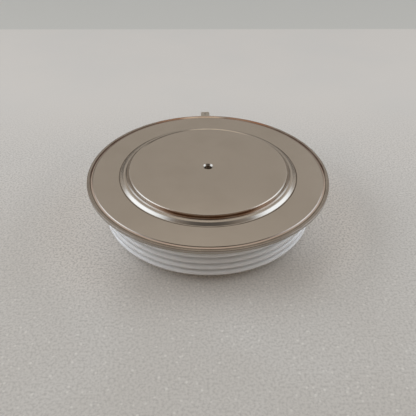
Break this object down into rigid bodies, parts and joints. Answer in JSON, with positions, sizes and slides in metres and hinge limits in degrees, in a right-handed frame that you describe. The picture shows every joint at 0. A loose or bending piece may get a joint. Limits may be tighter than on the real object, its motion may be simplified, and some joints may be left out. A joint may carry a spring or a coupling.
{
  "type": "disc thyristor",
  "caption": "Flat round power thyristor capsule: metal contact faces top and bottom, a wide welded rim, a ribbed white ceramic ring and blade terminals at one side.",
  "frame": {"origin": "centre of the anode contact face, on the capsule's axis", "axes": "+Z along the axis from the anode face to the cathode face; +Y towards the auxiliary cathode blade"},
  "size_m": [0.112, 0.1197, 0.026],
  "materials": {
    "nickel_plated_copper": "satin nickel plate on copper",
    "nickel_plated_brass": "satin nickel plate on brass",
    "glazed_alumina": "white glaze",
    "molybdenum": "lapped",
    "silicon": "polished",
    "silicone_rubber": "matte",
    "ptfe": "matte",
    "spring_steel": "bright",
    "silver": "silver plate"
  },
  "bodies": {
    "root": {"anode_pole": "nickel_plated_copper", "anode_flange": "nickel_plated_copper", "ceramic_housing": "glazed_alumina", "weld_flange": "nickel_plated_copper", "cathode_flange": "nickel_plated_copper", "cathode_pole": "nickel_plated_copper", "anode_moly_disc": "molybdenum", "silicon_wafer": "silicon", "wafer_edge_ring": "silicone_rubber", "cathode_moly_disc": "molybdenum", "centring_ring": "ptfe", "gate_bush": "ptfe", "gate_washer": "spring_steel", "gate_spring": "spring_steel", "gate_pin": "silver", "gate_lead": "silver", "lead_sleeve": "ptfe", "gate_tube": "nickel_plated_brass", "gate_collar": "nickel_plated_brass", "gate_terminal": "nickel_plated_brass", "aux_cathode_terminal": "nickel_plated_brass"}
  },
  "joints": []
}
